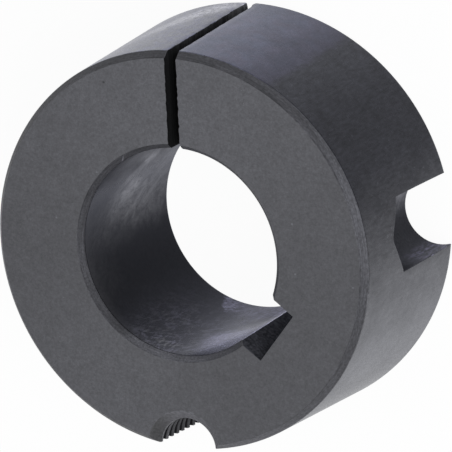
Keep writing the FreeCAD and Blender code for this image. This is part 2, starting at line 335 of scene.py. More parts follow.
def keyway_point(depth, across):
    """Point at a distance from the bore's axis along the keyway's middle, and across it."""
    cosine, sine = math.cos(KEYWAY_TURN), math.sin(KEYWAY_TURN)
    return depth * cosine - across * sine, depth * sine + across * cosine


def slot_corner(side, radius_at):
    """Angle at which a wall of the slot meets a turned wall, as a function of height."""
    behind = FULL_TURN if side == "left" else 0
    return lambda z: slot_angle(side, radius_at(z), z) - behind


def hole_corner(turn, side):
    """Angle of a plain half-hole's edge on the taper, as a function of height."""
    return lambda z: turn + side * hole_half_angle(z)


def thread_corner(side):
    """Angle about the bore's axis of the tapped half-hole's edge, as a function of height."""
    def angle(z):
        x, y = thread_point(thread_edge(side, z), z)
        return np.arctan2(y, x)
    return angle


def keyway_corner(across):
    """Angle at which a side of the keyway meets the bore, as a function of height."""
    return lambda z: KEYWAY_TURN + np.arcsin(across / inner_radius(z))


def turned_run(radius_at, start, end):
    """Stretch of a turned wall between two angles, each a function of height."""
    def place(z, t):
        radius = radius_at(z)
        angle = start(z) + (end(z) - start(z)) * t
        return radius * np.cos(angle), radius * np.sin(angle)
    return place


def plain_hole_run(turn):
    """Wall of a plain half-hole, from edge to edge past its innermost line."""
    def place(z, t):
        radius = outer_radius(z)
        squares = radius ** 2 - HOLE_CIRCLE ** 2 - PLAIN_HOLE_RADIUS ** 2
        edge = np.arccos(squares / (2 * HOLE_CIRCLE * PLAIN_HOLE_RADIUS))
        angle = turn + edge + (FULL_TURN - 2 * edge) * t
        x = HOLE_CIRCLE * math.cos(turn) + PLAIN_HOLE_RADIUS * np.cos(angle)
        return x, HOLE_CIRCLE * math.sin(turn) + PLAIN_HOLE_RADIUS * np.sin(angle)
    return place


def thread_run(z, t):
    """Wall of the tapped half-hole, from its +X edge to its -X edge."""
    first, last = thread_edge(1, z), thread_edge(-1, z)
    return thread_point(first + (last - first) * t, z)


def saw_run(side, outward):
    """Wall of the saw slot between the bore and the taper."""
    def place(z, t):
        along = t if outward else 1 - t
        x = SLOT_SIDES[side]
        low, high = np.sqrt(inner_radius(z) ** 2 - x ** 2), np.sqrt(outer_radius(z) ** 2 - x ** 2)
        y = low + (high - low) * along
        return saw_wall(side, y, z), y
    return place


def keyway_side_run(across, inward):
    """Side wall of the keyway between the bore and the keyway's floor."""
    def place(z, t):
        along = t if inward else 1 - t
        mouth = np.sqrt(inner_radius(z) ** 2 - across ** 2)
        return keyway_point(mouth + (KEYWAY_FLOOR - mouth) * along, across)
    return place


def keyway_floor_run(z, t):
    """Floor of the keyway from side to side."""
    first, last = KEYWAY_SIDES
    return keyway_point(KEYWAY_FLOOR, first + (last - first) * t + 0 * z)


def outline_runs():
    """The outline of a level section, clockwise round the outside and back round the bore.

    Each run has a name, a place function, a count of steps, a length and whether its last corner is eased."""
    right, left = PLAIN_HOLE_TURNS.values()
    first, last = KEYWAY_SIDES

    def outer(start, end):
        return turned_run(outer_radius, start, end)

    def inner(start, end):
        return turned_run(inner_radius, start, end)

    return (
        ("taper", outer(slot_corner("right", outer_radius), hole_corner(right, 1)), 37, 36.0, True),
        ("plain_hole_right", plain_hole_run(right), 28, 17.0, True),
        ("taper", outer(hole_corner(right, -1), thread_corner(1)), 39, 38.0, True),
        ("thread", thread_run, 64, 16.0, True),
        ("taper", outer(thread_corner(-1), hole_corner(left, 1)), 39, 38.0, True),
        ("plain_hole_left", plain_hole_run(left), 28, 17.0, True),
        ("taper", outer(hole_corner(left, -1), slot_corner("left", outer_radius)), 37, 36.0, True),
        ("saw", saw_run("left", False), 40, 13.0, True),
        ("bore", inner(slot_corner("left", inner_radius), keyway_corner(first)), 100, 53.0, True),
        ("keyway", keyway_side_run(first, True), 6, 3.8, False),
        ("keyway", keyway_floor_run, 12, 8.0, False),
        ("keyway", keyway_side_run(last, False), 6, 4.0, True),
        ("bore", inner(keyway_corner(last), slot_corner("right", inner_radius)), 48, 25.0, True),
        ("saw", saw_run("right", True), 40, 13.0, True),
    )


def row_heights():
    """Levels of the mesh's rows: where the section changes, and between those along the thread's edges."""
    rows = [0, END_ROW, EDGE_EASE, PLAIN_HOLE_DEPTH, COUNTERSINK_FOOT]
    for corner in (EDGE_BREAK, RIM_FOOT, MOUTH_FOOT):
        rows += [corner - EDGE_EASE, corner, corner + EDGE_EASE]
    rows += [LENGTH - COUNTERSINK_RADIUS + THREAD_MAJOR, LENGTH - EDGE_EASE, LENGTH - END_ROW, LENGTH]
    slope = THREAD_DEPTH * THREAD_FLANK
    turns = np.arange(math.ceil(LENGTH / THREAD_PITCH) + 1) * THREAD_PITCH
    for share in (0, 0.5, 1):
        for side in (-1, 1):
            rows += [z for z in turns + side * (THREAD_ROOT + share * slope)
                     if 0 < z < LENGTH and min(abs(z - row) for row in rows) > ROW_GAP]
    return np.array(sorted(rows))


def column_layout(runs):
    """Columns of the mesh: each run's columns and places along it, the eased corners, and the count."""
    spans, corners, column = [], [], 0
    after_eased = True
    for index, (name, place, steps, length, ease_last) in enumerate(runs):
        t = np.linspace(0, 1, steps + 1)
        if after_eased:
            t[0] = EDGE_EASE / length
        else:
            t = t[1:]
        if ease_last:
            t[-1] = 1 - EDGE_EASE / length
        spans.append((np.arange(column, column + len(t)), t))
        column += len(t)
        if ease_last:
            corners.append((column, index))
            column += 1
        after_eased = ease_last
    return spans, corners, column


def thread_shift(runs, spans, count):
    """How far each column's rows are shifted, so that they follow the thread round its hole."""
    shift = np.zeros(count)
    reach = THREAD_PITCH * THREAD_SPAN / FULL_TURN / 2
    columns, t = spans[[run[0] for run in runs].index("thread")]
    shift[columns] = reach * (2 * t - 1)
    fade = np.linspace(0, 1, SHIFT_FADE_COLUMNS) ** 2
    shift[columns[0] - len(fade):columns[0]] = -reach * fade
    shift[columns[-1] + 1:columns[-1] + 1 + len(fade)] = reach * fade[::-1]
    return shift


def arch_heights(t):
    """Where the drill point's cone leaves the taper above a plain half-hole."""
    half = hole_half_angle(np.float64(PLAIN_HOLE_DEPTH))
    spread = half * (1 - 2 * t)
    z = np.full_like(t, PLAIN_HOLE_DEPTH)
    for step in range(ARCH_STEPS):
        radius = outer_radius(z)
        from_axis = np.sqrt(radius ** 2 + HOLE_CIRCLE ** 2 - 2 * radius * HOLE_CIRCLE * np.cos(spread))
        z = PLAIN_HOLE_DEPTH + (PLAIN_HOLE_RADIUS - from_axis) / DRILL_POINT_SLOPE
    return np.maximum(z, PLAIN_HOLE_DEPTH)


def bridge_points(turn, t, z):
    """Points of the taper above a plain half-hole."""
    angle = turn + hole_half_angle(np.float64(PLAIN_HOLE_DEPTH)) * (1 - 2 * t)
    return outer_radius(z) * np.cos(angle), outer_radius(z) * np.sin(angle)


def drill_point_rows(turn, t, wall_row):
    """Rows of points from the plain half-hole's wall over the drill point's cone to the taper above it."""
    centre = HOLE_CIRCLE * np.array((math.cos(turn), math.sin(turn)))
    ease = EDGE_EASE * np.minimum(1, CONE_EASE_RATE * np.minimum(t - t[0], t[-1] - t))
    arch = arch_heights(t)
    arch[[0, -1]] = PLAIN_HOLE_DEPTH
    edge = np.stack(bridge_points(turn, t, arch), axis=1)
    edge[[0, -1]] = wall_row[[0, -1]]
    run = edge - wall_row
    length = np.maximum(np.linalg.norm(run, axis=1), EDGE_EASE)
    rows = []
    for share in np.linspace(0, 1, CONE_ROWS)[1:]:
        plan = wall_row + run * (share * (1 - ease / length))[:, None]
        depth = PLAIN_HOLE_RADIUS - np.linalg.norm(plan - centre, axis=1)
        rows.append(np.column_stack((plan, PLAIN_HOLE_DEPTH + np.maximum(depth, 0) / DRILL_POINT_SLOPE)))
    corner = np.column_stack((edge, arch))
    top = np.column_stack((*bridge_points(turn, t, arch + ease), arch + ease))
    top[[0, -1]] = corner[[0, -1]]
    middle = (rows[-1] + top) / 2
    rows += [corner + (middle - corner) * CORNER_PULL, top]
    return rows


def inset_ends(points, heights):
    """Draw the outline in over the last rows at both ends, which eases the end faces' edges."""
    for row, z in enumerate(heights):
        amount = END_INSET * (1 - min(z, LENGTH - z) / EDGE_EASE)
        if amount > 0:
            along = np.roll(points[row, :, :2], -1, axis=0) - np.roll(points[row, :, :2], 1, axis=0)
            along /= np.linalg.norm(along, axis=1)[:, None]
            points[row, :, 0] += amount * along[:, 1]
            points[row, :, 1] -= amount * along[:, 0]


def pull_corners(runs, corners, blind, x, y, z):
    """Put each eased corner's column between the true corner and the middle of its neighbours."""
    for column, index in corners:
        after = (column + 1) % z.shape[1]
        name, place = runs[index][:2]
        corner_x, corner_y = place(z[:, column], 1.0)
        if name in PLAIN_HOLE_TURNS:
            bridge = bridge_points(PLAIN_HOLE_TURNS[name], 1.0, z[blind + 1:, column])
            corner_x[blind + 1:], corner_y[blind + 1:] = bridge
        middle_x, middle_y = (x[:, column - 1] + x[:, after]) / 2, (y[:, column - 1] + y[:, after]) / 2
        x[:, column] = corner_x + (middle_x - corner_x) * CORNER_PULL
        y[:, column] = corner_y + (middle_y - corner_y) * CORNER_PULL


def bushing_rows(runs, spans, corners, count, heights):
    """Points of every row and column, in millimetres, and the row at the plain half-holes' blind ends."""
    low, high = SHIFT_FADE_HEIGHTS
    fade = np.clip((np.minimum(heights, LENGTH - heights) - low) / (high - low), 0, 1)
    z = heights[:, None] + thread_shift(runs, spans, count)[None, :] * (fade * fade * (3 - 2 * fade))[:, None]
    blind = int(np.argmin(np.abs(heights - PLAIN_HOLE_DEPTH)))
    above = slice(blind + 1, None)
    share = np.clip((heights[above] - PLAIN_HOLE_DEPTH) / (BRIDGE_TOP - PLAIN_HOLE_DEPTH), 0, 1)[:, None]
    x, y = np.empty_like(z), np.empty_like(z)
    for (name, place, steps, length, ease_last), (columns, t) in zip(runs, spans):
        x[:, columns], y[:, columns] = place(z[:, columns], t[None, :])
        if name in PLAIN_HOLE_TURNS:
            lift = (arch_heights(t) + EDGE_EASE - PLAIN_HOLE_DEPTH)[None, :] * (1 - share)
            z[above, columns] = heights[above, None] + lift
            bridge = bridge_points(PLAIN_HOLE_TURNS[name], t[None, :], z[above, columns])
            x[above, columns], y[above, columns] = bridge
    pull_corners(runs, corners, blind, x, y, z)
    points = np.stack((x, y, z), axis=2)
    inset_ends(points, heights)
    return points, blind


def grid_faces(lower, upper):
    """Quads between two rows of point numbers."""
    return [(lower[i], lower[i + 1], upper[i + 1], upper[i]) for i in range(len(lower) - 1)]


def column_finishes(runs, spans, count):
    """The finish of each column's wall. An eased corner has that of the run before it."""
    finishes = np.zeros(count, int)
    for run, (columns, t) in zip(runs, spans):
        wall = run[0] if run[0] in FINISHES else "cut"
        finishes[columns[0]:columns[-1] + 2] = FINISHES.index(wall)
    return finishes


def row_finishes(finishes, holes, z, above_blind_end):
    """The same for one row of faces at that height, with the chamfers and the taper above the blind holes."""
    taper, bore, chamfer = (FINISHES.index(name) for name in ("taper", "bore", "chamfer"))
    row = finishes.copy()
    if above_blind_end:
        for columns in holes:
            row[columns[0]:columns[-1] + 2] = taper
    if z > RIM_FOOT or z < EDGE_BREAK:
        row[row == taper] = chamfer
    if z > MOUTH_FOOT:
        row[row == bore] = chamfer
    return row


def edge_marks(finishes, corners, holes, blind, heights):
    """1 on the middle of each eased edge and 0 elsewhere, for every row and column."""
    marks = np.zeros((len(heights), len(finishes)))
    marks[:, [column for column, index in corners]] = 1
    for columns in holes:
        marks[blind + 1:, columns[0] - 1:columns[-1] + 2] = 0
    marks[np.isclose(np.minimum(heights, LENGTH - heights), END_ROW)] = 1
    for wall, height in (("taper", RIM_FOOT), ("taper", EDGE_BREAK), ("bore", MOUTH_FOOT)):
        marks[np.ix_(np.isclose(heights, height), finishes == FINISHES.index(wall))] = 1
    marks[[0, -1]] = 0
    return marks


def blind_end(turn, t, wall_row, lower, used):
    """Drill point of a plain half-hole: its points, edge marks and faces, and its last row's point numbers.

    lower has the point numbers of the hole's wall, and used is how many points there are so far."""
    rows = drill_point_rows(turn, t, wall_row)
    numbers = np.arange(used, used + len(rows) * len(t)).reshape(len(rows), len(t))
    marks = np.zeros(numbers.shape)
    marks[-2] = 1
    faces = []
    for below, above in zip((lower, *numbers), numbers):
        faces += grid_faces(below, above)
    return np.concatenate(rows), marks.ravel(), faces, numbers[-1]


def build_bushing():
    """The whole bushing as one closed mesh."""
    runs, heights = outline_runs(), row_heights()
    spans, corners, count = column_layout(runs)
    points, blind = bushing_rows(runs, spans, corners, count, heights)
    finishes = column_finishes(runs, spans, count)
    drilled = [(run[0], *span) for run, span in zip(runs, spans) if run[0] in PLAIN_HOLE_TURNS]
    holes = [columns for name, columns, t in drilled]
    numbers = np.arange(len(heights) * count).reshape(len(heights), count)
    bridge = numbers[blind].copy()
    vertices, marks = [points.reshape(-1, 3)], [edge_marks(finishes, corners, holes, blind, heights).ravel()]
    faces = []
    for name, columns, t in drilled:
        wall_row, lower, used = points[blind, columns, :2], numbers[blind, columns], sum(map(len, marks))
        cone = blind_end(PLAIN_HOLE_TURNS[name], t, wall_row, lower, used)
        vertices.append(cone[0])
        marks.append(cone[1])
        faces += cone[2]
        bridge[columns] = cone[3]
    zones = [FINISHES.index("cut")] * len(faces)
    for row in range(len(heights) - 1):
        lower, upper = bridge if row == blind else numbers[row], numbers[row + 1]
        faces += grid_faces(np.append(lower, lower[0]), np.append(upper, upper[0]))
        zones += list(row_finishes(finishes, holes, (heights[row] + heights[row + 1]) / 2, row >= blind))
    faces += [tuple(numbers[0]), tuple(numbers[-1][::-1])]
    zones += [FINISHES.index("end_face")] * 2
    return closed_piece(np.concatenate(vertices), faces, zones, np.concatenate(marks))


def closed_piece(points, faces, zones, marks):
    """Object from the points in millimetres, welded, with its finishes, its edge marks and its shading."""
    mesh = bpy.data.meshes.new("turned_bushing")
    mesh.from_pydata((points * MM).tolist(), [], [[int(i) for i in face] for face in faces])
    mesh.polygons.foreach_set("material_index", zones)
    mesh.attributes.new("edge", "FLOAT", "POINT").data.foreach_set("value", marks.astype(np.float32))
    shape = bmesh.new()
    shape.from_mesh(mesh)
    bmesh.ops.remove_doubles(shape, verts=shape.verts, dist=WELD_GAP * MM)
    bmesh.ops.dissolve_degenerate(shape, edges=shape.edges, dist=SHORTEST_EDGE * MM)
    bmesh.ops.recalc_face_normals(shape, faces=shape.faces)
    shape.to_mesh(mesh)
    shape.free()
    mesh.shade_smooth()
    mesh.set_sharp_from_angle(angle=SHARP_ANGLE)
    for finish in (end_face_iron, chamfer_iron, taper_iron, bore_iron,
                   saw_iron, thread_iron, keyway_iron, drilled_iron):
        mesh.materials.append(finish())
    piece = bpy.data.objects.new("turned_bushing", mesh)
    bpy.context.scene.collection.objects.link(piece)
    piece.modifiers.new("normals", "WEIGHTED_NORMAL").keep_sharp = True
    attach(piece, "root")
    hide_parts("bushing")
    return piece


def node(tree, kind, inputs=None, **settings):
    """Add a shader node, with its settings and with values or links for its inputs."""
    made = tree.nodes.new("ShaderNode" + kind)
    for key, value in settings.items():
        setattr(made, key, value)
    for key, value in (inputs or {}).items():
        if isinstance(value, bpy.types.NodeSocket):
            tree.links.new(value, made.inputs[key])
        else:
            made.inputs[key].default_value = value
    return made


def number(tree, operation, *values):
    """Result of a math node."""
    return node(tree, "Math", dict(enumerate(values)), operation=operation).outputs[0]


def chained(tree, operation, *values):
    """Result of a math node over several numbers, taken in turn."""
    result = values[0]
    for value in values[1:]:
        result = number(tree, operation, result, value)
    return result


class Finish:
    """A black oxide finish in the making: its material and where each point lies on the bushing.

    place is in millimetres. turn is the angle about the bore's axis from the tapped hole, in degrees,
    positive towards +X, and jumps only in the saw slot. radius and height are in millimetres."""

    def __init__(self, name, metallic, ior, tint=(1, 1, 1)):
        self.material = bpy.data.materials.new(name)
        self.material.use_nodes = True
        self.tree = tree = self.material.node_tree
        self.shader = tree.nodes["Principled BSDF"]
        self.shader.inputs["Metallic"].default_value = metallic
        self.shader.inputs["IOR"].default_value = ior
        self.shader.inputs["Specular Tint"].default_value = (*tint, 1)
        self.place = self.scaled(node(tree, "TexCoord").outputs["Object"], 1 / MM)
        axes = node(tree, "SeparateXYZ", {"Vector": self.place}).outputs
        self.x, self.y, self.height = axes["X"], axes["Y"], axes["Z"]
        minus_y = number(tree, "MULTIPLY", self.y, -1)
        self.turn = number(tree, "DEGREES", number(tree, "ARCTAN2", self.x, minus_y))
        self.radius = self.distance(self.x, self.y)
        self.edge = node(tree, "Attribute", attribute_name="edge").outputs["Fac"]

    def noise(self, size, detail=2, roughness=0.5, curl=0, place=None):
        """Noise from 0 to 1 whose blotches are about that many millimetres across."""
        inputs = {"Vector": self.place if place is None else place, "Scale": 1 / size, "Detail": detail}
        inputs |= {"Roughness": roughness, "Distortion": curl}
        return node(self.tree, "TexNoise", inputs).outputs["Fac"]

    def ranged(self, value, low, high, to_low, to_high, smooth=False):
        """Map a value's range to another, and hold it there."""
        inputs = {"Value": value, "From Min": low, "From Max": high, "To Min": to_low, "To Max": to_high}
        kind = "SMOOTHSTEP" if smooth else "LINEAR"
        return node(self.tree, "MapRange", inputs, interpolation_type=kind).outputs["Result"]

    def blend(self, share, first, last):
        """Colour between two colours, which are sockets or values."""
        made = node(self.tree, "Mix", {"Factor": share}, data_type="RGBA")
        for socket, value in ((made.inputs[6], first), (made.inputs[7], last)):
            if isinstance(value, bpy.types.NodeSocket):
                self.tree.links.new(value, socket)
            else:
                socket.default_value = (*value, 1)
        return made.outputs[2]

    def scaled(self, colour, factor):
        """Colour times a number."""
        return node(self.tree, "VectorMath", {0: colour, "Scale": factor}, operation="SCALE").outputs[0]

    def added(self, first, second):
        """Sum of two colours."""
        return node(self.tree, "VectorMath", {0: first, 1: second}, operation="ADD").outputs[0]

    def total(self, *values):
        """Sum of several numbers."""
        return chained(self.tree, "ADD", *values)

    def product(self, *values):
        """Product of several numbers."""
        return chained(self.tree, "MULTIPLY", *values)

    def distance(self, x, y):
        """Root of the sum of two squares."""
        return number(self.tree, "SQRT", self.total(self.product(x, x), self.product(y, y)))

    def varied(self, grain, low, high):
        """Factor between two values over the usual range of a noise."""
        return self.ranged(grain, 0.3, 0.7, low, high)

    def mottle(self, size, amount):
        """Factor about 1 that varies by that share over blotches of that size."""
        return self.varied(self.noise(size, 3, 0.6), 1 - amount, 1 + amount)

    def patch(self, turn, height, at, spread, lean=0):
        """Soft patch, 1 in its middle and 0 outside, leaning by so many degrees a millimetre of height."""
        tree = self.tree
        up = number(tree, "SUBTRACT", height, at[1])
        aside = number(tree, "SUBTRACT", number(tree, "SUBTRACT", turn, at[0]), self.product(up, lean))
        wide, high = number(tree, "DIVIDE", aside, spread[0]), number(tree, "DIVIDE", up, spread[1])
        return self.ranged(self.distance(wide, high), 0, 1, 1, 0, True)

    def patches(self, turn, height, table):
        """Sum of the soft patches of a table."""
        soft = (self.product(self.patch(turn, height, *area), strength) for *area, strength in table)
        return self.total(*soft)

    def warped(self, size, degrees, millimetres):
        """Turn and height, shifted about by noise so that patches get cloudy edges."""
        tree = self.tree
        inputs = {"Vector": self.place, "Scale": 1 / size, "Detail": 4, "Roughness": 0.6}
        colour = node(tree, "TexNoise", inputs).outputs["Color"]
        parts = node(tree, "SeparateColor", {"Color": colour}).outputs
        turn = self.total(self.turn, self.ranged(parts[0], 0.2, 0.8, -degrees, degrees))
        return turn, self.total(self.height, self.ranged(parts[1], 0.2, 0.8, -millimetres, millimetres))

    def drawn_noise(self, x, y, z=0, detail=2, curl=0):
        """Noise from 0 to 1 at a place that is drawn out from the point's own."""
        drawn = node(self.tree, "CombineXYZ", {"X": x, "Y": y, "Z": z}).outputs[0]
        return self.noise(1, detail, 0.6, curl, drawn)

    def streaks(self, radius, lean, width, length, detail=2, curl=0):
        """Noise drawn out in streaks, which lean from the axis by an angle in degrees."""
        arc = self.product(self.turn, math.radians(radius))
        cosine, sine = math.cos(math.radians(lean)), math.sin(math.radians(lean))
        across = self.total(self.product(arc, cosine / width), self.product(self.height, sine / width))
        along = self.total(self.product(arc, -sine / length), self.product(self.height, cosine / length))
        return self.drawn_noise(across, along, radius, detail, curl)

    def upright_streaks(self, width, length):
        """Noise drawn out along the axis, for walls that aren't turned."""
        x, y = self.product(self.x, 1 / width), self.product(self.y, 1 / width)
        return self.drawn_noise(x, y, self.product(self.height, 1 / length), 4)

    def rings(self, across, width, length):
        """Noise drawn out in rings, across a flat end's radius or a chamfer's height."""
        along = self.product(self.turn, math.radians(RING_RADIUS) / length)
        return self.drawn_noise(self.product(across, 1 / width), along)

    def ramp(self, value, low, high):
        """Smooth rise from 0 to 1 between two values, or fall where low is above high."""
        if low > high:
            return self.ranged(value, high, low, 1, 0, True)
        return self.ranged(value, low, high, 0, 1, True)

    def worn_edge_highlight(self, low, high, gain):
        """Broken light line along the eased edges: edge wear, with painted highlight on the edges."""
        return self.product(self.edge, self.ranged(self.noise(1.6, 3, 0.65), low, high, 0, gain))

    def scratch(self, start, end, width):
        """1 on the straight line between two points and 0 beyond its width."""
        tree, first = self.tree, Vector(start)
        run = Vector(end) - first
        offset = node(tree, "VectorMath", {0: self.place, 1: first}, operation="SUBTRACT").outputs[0]
        inputs = {0: offset, 1: run / run.length_squared}
        along = node(tree, "VectorMath", inputs, operation="DOT_PRODUCT").outputs["Value"]
        reached = self.scaled(tuple(run), self.ranged(along, 0, 1, 0, 1))
        gap = node(tree, "VectorMath", {0: offset, 1: reached}, operation="DISTANCE").outputs["Value"]
        return self.ramp(gap, width, 0.4 * width)

    def scratches(self, lines, width):
        """1 on each of several straight lines."""
        return self.total(*(self.scratch(start, end, width) for start, end in lines))

    def spots(self, points, size):
        """1 on small round spots at those places of the small end."""
        lines = [((x, y, LENGTH), (x + 0.3 * size, y, LENGTH)) for x, y in points]
        return self.scratches(lines, size)

    def roughen(self, roughness, spread, depth, grain=None):
        """Roughness, a number or a socket, and bump, both from the grain given or else from a fine one."""
        tree = self.tree
        if grain is None:
            grain = self.noise(0.3, 3, 0.6)
        rough = self.total(roughness, self.varied(grain, spread, -spread))
        tree.links.new(rough, self.shader.inputs["Roughness"])
        bump = node(tree, "Bump", {"Height": grain, "Distance": depth * MM, "Strength": 1})
        tree.links.new(bump.outputs["Normal"], self.shader.inputs["Normal"])

    def colour(self, shade, *factors):
        """Set the base colour: a shade times some factors."""
        colour = self.scaled(shade, self.product(*factors))
        self.tree.links.new(colour, self.shader.inputs["Base Color"])
        return self.material


def dull_finish(name):
    """Finish of a rough wall deep in the bushing, which hardly shines."""
    iron = Finish(name, 0, 1.1)
    iron.shader.inputs["Specular IOR Level"].default_value = 0.1
    return iron


def end_face_iron():
    """Ground ends: matt, curdled, with faint rings, a painted sheen in soft lobes and small bright dents."""
    iron = Finish("end_face_iron", 0, 1.45)
    grain = iron.noise(0.26, 4, 0.7)
    iron.roughen(0.55, 0.06, 0.012, grain)
    curdled = iron.varied(iron.noise(0.4, 3, 0.62), 0.79, 1.21)
    fine = iron.varied(grain, 0.84, 1.16)
    rings = iron.varied(iron.rings(iron.radius, 0.16, 9), 0.965, 1.035)
    # Painted sheen: lighter lobes beside the slot and a little to the -X side of the tapped hole.
    light = iron.total(1, iron.patches(iron.turn, iron.height, END_FACE_PAINTED_SHEEN))
    dents = iron.spots(FACE_DENTS, DENT_SIZE)
    pit = iron.ranged(iron.spots(FACE_PITS, PIT_SIZE), 0, 1, 1, 0.35)
    lines = [((*start, LENGTH), (*end, LENGTH)) for start, end in COUNTERSINK_RUBS]
    rubs = iron.scratches(lines, RUB_WIDTH)
    speck = iron.ranged(iron.noise(0.24, 0), 0.8, 0.86, 0, 0.5)
    shade = iron.product(curdled, fine, rings, iron.mottle(1.4, 0.05), iron.mottle(4, 0.06), light, pit)
    marks = iron.total(speck, iron.product(dents, 0.8), iron.product(rubs, 0.55))
    return iron.colour(END_FACE_GREY, iron.total(shade, marks))


def chamfer_iron():
    """Turned chamfers: darker than the ends, streaked along the ring, rubbed grainy and light in places, with
    a painted shade line at the top edge and painted light on the eased edges.
    """
    iron = Finish("chamfer_iron", 0, 1.3)
    iron.roughen(0.5, 0.05, 0.01)
    turn, height = iron.warped(1.5, 4, 0.12)
    streak = iron.ranged(iron.rings(iron.height, 0.2, 6), 0.32, 0.68, 0.74, 1.26)
    dashes = iron.varied(iron.rings(iron.height, 0.13, 0.45), 0.64, 1.36)
    curdled = iron.varied(iron.noise(0.3, 3, 0.65), 0.82, 1.18)
    rim = iron.ranged(iron.radius, 20, 21, 0, 1)
    mouth = iron.ranged(iron.radius, 20, 21, 1, 0)
    low_mouth = iron.product(iron.ramp(turn, -40, -24), iron.ranged(turn, -12, 42, 1.25, 0.55, True))
    high_mouth = iron.product(iron.patch(turn, height, (-82, 25), (46, 40)), 0.32)
    worn_mouth = iron.total(low_mouth, high_mouth)
    worn_rim = iron.patches(turn, height, RIM_WEAR)
    worn = iron.total(1, iron.product(rim, worn_rim), iron.product(mouth, worn_mouth))
    # Painted shade: a broken dark line along the top edge of the chamfers.
    lip = iron.product(iron.ramp(height, 24.8, 24.95), iron.ramp(iron.noise(1.8, 2), 0.42, 0.55))
    lip_shade = iron.ranged(lip, 0, 1, 1, 0.64)
    shade = iron.product(worn, streak, dashes, curdled, iron.mottle(3, 0.08), lip_shade)
    nicks = iron.product(iron.scratches(CHAMFER_NICKS, CHAMFER_NICK_WIDTH), 2.2)
    # Painted light on the eased edges, lifting the dark line that their reflection leaves.
    painted_edge_light = iron.product(iron.edge, 0.35)
    return iron.colour(CHAMFER_GREY, iron.total(shade, painted_edge_light, nicks, iron.worn_edge_highlight(0.52, 0.64, 0.9)))


def taper_base(iron, turn, near_turn, near_height, low_side, left_side):
    """Base colour of the taper: black, lilac on both sides of the slot, and grey past the right half-hole,
    which is painted reflection. Left of the slot a stained grey also paints in the highlight, with a whitish
    painted highlight beside the slot.
    """
    hue = iron.ramp(iron.noise(2.4, 3, 0.6), 0.36, 0.64)
    near_lilac, far_blue, far_lilac = TAPER_LILACS
    slot_side = iron.blend(iron.ramp(turn, 140, 176), near_lilac, iron.blend(hue, far_blue, far_lilac))
    dark = iron.blend(iron.ramp(turn, 128, 152), TAPER_BLACK, TAPER_SHADED)
    base = iron.blend(iron.ramp(near_turn, 147.5, 151), dark, slot_side)
    base = iron.blend(low_side, base, TAPER_LOW_PAINTED_REFLECTION)
    # Left of the slot: a grey stain that also paints in the highlight.
    stain_and_highlight = iron.blend(iron.ramp(iron.noise(1.3, 3, 0.6), 0.38, 0.62), *TAPER_LEFT_STAIN_AND_HIGHLIGHT)
    base = iron.blend(left_side, base, stain_and_highlight)
    # Painted highlight: a whitish streaky patch by the slot, on its left.
    highlight_patch = iron.patch(near_turn, near_height, (-170.2, 5), (9, 15), 1.4)
    painted_highlight = iron.product(highlight_patch, iron.ramp(iron.noise(0.7, 4, 0.7), 0.3, 0.54), 0.9)
    return iron.blend(painted_highlight, base, TAPER_PAINTED_HIGHLIGHT)


def taper_iron():
    """Turned taper: smooth, streaked along the axis, specked where it is light, and torn beside the slot,
    with painted reflection and highlight in its base colour.
    """
    iron = Finish("taper_iron", 1, 1.45, (0.955, 0.962, 1))
    iron.roughen(0.3, 0.05, 0.005)
    turn, height = iron.warped(6, 5, 2)
    near_turn, near_height = iron.warped(1.2, 1.2, 1)
    # Low side: its lighter grey base is painted reflection.
    low_side = iron.product(iron.ramp(turn, 116, 70), iron.ramp(turn, 46, 60))
    uneven = iron.ranged(iron.noise(2.5, 3, 0.6), 0.3, 0.5, 0.85, 1)
    left_side = iron.product(iron.ramp(turn, -122, -150), uneven)
    base = taper_base(iron, turn, near_turn, near_height, low_side, left_side)
    # Lighter parts: the lilac film by the slot and the painted reflection and highlight of the low and left
    # sides.
    light = iron.total(iron.ramp(near_turn, 147.5, 151), low_side, left_side)
    streak = iron.product(
        iron.varied(iron.streaks(28, 0, 0.42, 1.8, 3), -1, 1),
        iron.ranged(light, 0, 1, 0.42, 0.11),
    )
    mottles = (iron.mottle(0.7, 0.09), iron.mottle(1.8, 0.11), iron.mottle(4.5, 0.14))
    cloud = iron.product(iron.total(1, streak), *mottles)
    fleck = iron.product(iron.ramp(iron.noise(0.36, 0), 0.76, 0.84), iron.ranged(light, 0, 1, 0.9, 0.2))
    torn = iron.patch(turn, height, (176, 1.5), (13, 6))
    worn = iron.total(left_side, iron.product(torn, 0.8))
    specks = iron.product(worn, iron.ramp(iron.noise(0.42, 4, 0.7), 0.54, 0.66))
    dull = iron.product(iron.ranged(torn, 0, 1, 1, 0.84), iron.ranged(specks, 0, 1, 1, 0.52))
    shade = iron.total(cloud, fleck, iron.worn_edge_highlight(0.52, 0.65, 1.6))
    return iron.colour(base, iron.product(shade, dull))


